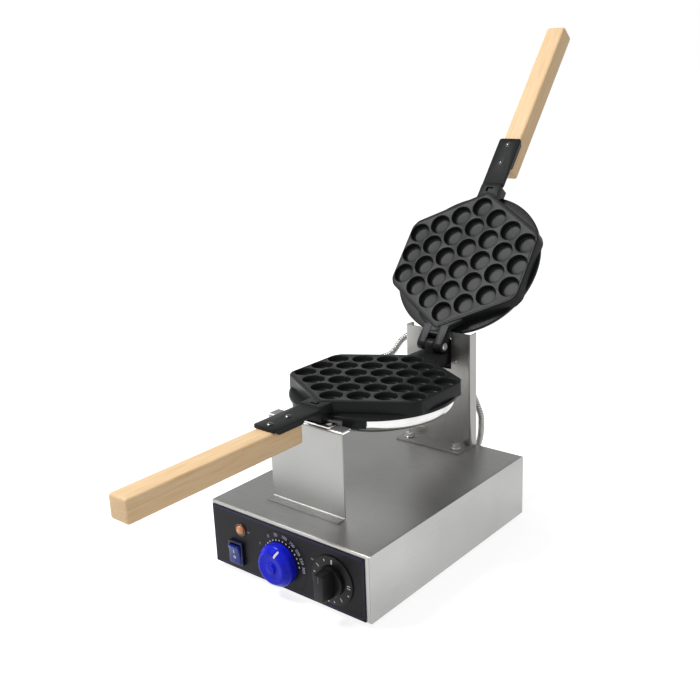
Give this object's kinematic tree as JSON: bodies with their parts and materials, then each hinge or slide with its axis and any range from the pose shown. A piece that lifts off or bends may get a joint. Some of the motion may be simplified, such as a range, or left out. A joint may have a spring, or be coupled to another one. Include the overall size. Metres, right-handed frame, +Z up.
{
  "type": "bubble waffle maker",
  "caption": "Tabletop bubble waffle maker: steel control box, bracket and column carrying two hinged hexagonal baking plates with wooden handles; the lid swings open.",
  "frame": {"origin": "on the floor plane under the feet, at the middle of the whole machine's bounding box with its lid open", "axes": "+X to the right seen from the front, +Y from the controls to the rear, +Z up"},
  "size_m": [0.234, 0.8242, 0.6015],
  "materials": {
    "stainless": "fine brushed, satin",
    "polished_steel": "mirror polished stainless steel",
    "fastener_steel": "bright turned steel",
    "black_coating": "semi-gloss non-stick coating on cast aluminium",
    "beech": "pale beech, fine sanded, unvarnished",
    "panel_plastic": "satin printed panel",
    "black_plastic": "satin moulded",
    "blue_knob_plastic": "glossy moulded",
    "blue_switch_plastic": "glossy translucent moulded",
    "amber_lens": "translucent, unlit",
    "red_bezel": "translucent dark ring",
    "rubber": "matt moulded",
    "ceramic": "white glazed steatite",
    "grey_plastic": "moulded",
    "heater_steel": "heat-tinted tube",
    "hose_steel": "spiral wound strip, ribbed"
  },
  "bodies": {
    "base": {"base_cover": "stainless", "bearing_plate": "black_coating", "bottom_plate": "stainless", "bracket_nut_1": "fastener_steel", "bracket_nut_2": "fastener_steel", "column_bolt_1": "fastener_steel", "column_bolt_2": "fastener_steel", "control_panel": "panel_plastic", "foot_1": "rubber", "foot_2": "rubber", "foot_3": "rubber", "foot_4": "rubber", "front_bracket": "stainless", "hinge_pin": "fastener_steel", "lamp_bezel": "red_bezel", "lamp_lens": "amber_lens", "lower_box_gland": "fastener_steel", "lower_casting": "black_coating", "lower_conduit": "hose_steel", "lower_dish": "polished_steel", "lower_dish_nut": "fastener_steel", "lower_handle": "beech", "lower_handle_rivet_1": "fastener_steel", "lower_handle_rivet_2": "fastener_steel", "lower_heater": "heater_steel", "lower_heater_clamp": "stainless", "lower_pan_gland": "fastener_steel", "mains_inlet_gland": "black_plastic", "pan_rest_plate": "polished_steel", "pivot_nut": "fastener_steel", "pivot_shaft": "fastener_steel", "rear_column": "stainless", "rest_screw_1": "fastener_steel", "rest_screw_2": "fastener_steel", "side_panel_left": "stainless", "side_panel_right": "stainless", "switch_housing": "blue_switch_plastic", "terminal_block": "ceramic", "thermostat_shaft": "fastener_steel", "thermostat_unit": "grey_plastic", "timer_dial": "black_plastic", "timer_shaft": "fastener_steel", "timer_unit": "grey_plastic", "turning_head": "black_coating", "upper_box_gland": "fastener_steel", "upper_conduit": "hose_steel"},
    "lid": {"upper_casting": "black_coating", "upper_dish": "polished_steel", "upper_dish_nut": "fastener_steel", "upper_heater": "heater_steel", "upper_heater_clamp": "stainless", "upper_handle": "beech", "upper_handle_rivet_1": "fastener_steel", "upper_handle_rivet_2": "fastener_steel", "upper_pan_gland": "fastener_steel"},
    "thermostat_knob": {"thermostat_knob": "blue_knob_plastic"},
    "timer_knob": {"timer_knob": "black_plastic"},
    "switch_rocker": {"switch_rocker": "blue_switch_plastic"}
  },
  "joints": [
    {"name": "lid_hinge", "type": "hinge", "parent": "base", "child": "lid", "pos_m": [0, 0.08176, 0.2198], "axis": [1, 0, 0], "range_deg": [0, 129.2], "deforming": ["upper_conduit"]},
    {"name": "thermostat_turn", "type": "hinge", "parent": "base", "child": "thermostat_knob", "pos_m": [-0.009, -0.20374, 0.038], "axis": [0, 1, 0], "range_deg": [-65, 205]},
    {"name": "timer_turn", "type": "hinge", "parent": "base", "child": "timer_knob", "pos_m": [0.0665, -0.20554, 0.0425], "axis": [0, 1, 0], "range_deg": [0, 300]},
    {"name": "switch_rock", "type": "hinge", "parent": "base", "child": "switch_rocker", "pos_m": [-0.078, -0.20544, 0.0295], "axis": [1, 0, 0], "range_deg": [-16, 0]}
  ]
}
